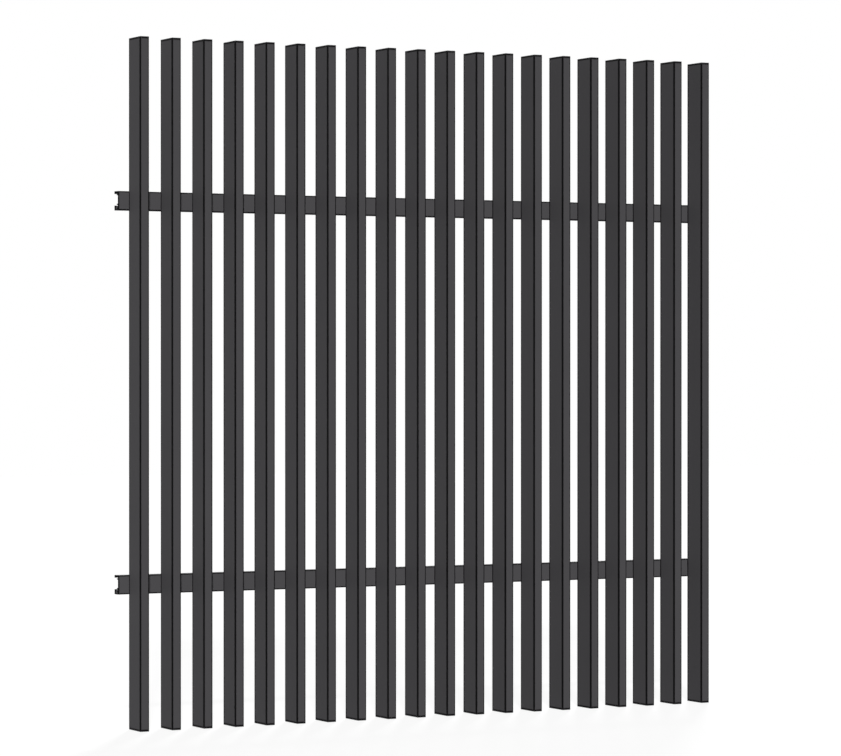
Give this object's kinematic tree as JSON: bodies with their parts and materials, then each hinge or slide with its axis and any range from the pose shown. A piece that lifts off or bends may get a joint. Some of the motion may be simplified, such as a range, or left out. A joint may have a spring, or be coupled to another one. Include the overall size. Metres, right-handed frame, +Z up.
{
  "type": "blade fence panel",
  "caption": "Fence panel of upright rectangular-tube blades, narrow face to the front, carried on horizontal lipped channel rails that are open to the back.",
  "frame": {"origin": "on the back of the lower rail's bottom lip, at mid-length of the rail and mid-height of the lip, where the panel bears on its posts", "axes": "+X along the rails, to the right seen from the front; +Y from the blades back towards the posts, the outward normal of the rails' lips; +Z up along the blades"},
  "size_m": [1.795, 0.1, 1.8],
  "materials": {
    "charcoal_powder_coat": "matte",
    "cap_plastic": "matte"
  },
  "bodies": {
    "root": {"blade_01": "charcoal_powder_coat", "blade_02": "charcoal_powder_coat", "blade_03": "charcoal_powder_coat", "blade_04": "charcoal_powder_coat", "blade_05": "charcoal_powder_coat", "blade_06": "charcoal_powder_coat", "blade_07": "charcoal_powder_coat", "blade_08": "charcoal_powder_coat", "blade_09": "charcoal_powder_coat", "blade_10": "charcoal_powder_coat", "blade_11": "charcoal_powder_coat", "blade_12": "charcoal_powder_coat", "blade_13": "charcoal_powder_coat", "blade_14": "charcoal_powder_coat", "blade_15": "charcoal_powder_coat", "blade_16": "charcoal_powder_coat", "blade_17": "charcoal_powder_coat", "blade_18": "charcoal_powder_coat", "blade_19": "charcoal_powder_coat", "blade_20": "charcoal_powder_coat", "lower_rail": "charcoal_powder_coat", "upper_rail": "charcoal_powder_coat", "top_caps": "cap_plastic", "bottom_caps": "cap_plastic"}
  },
  "joints": []
}
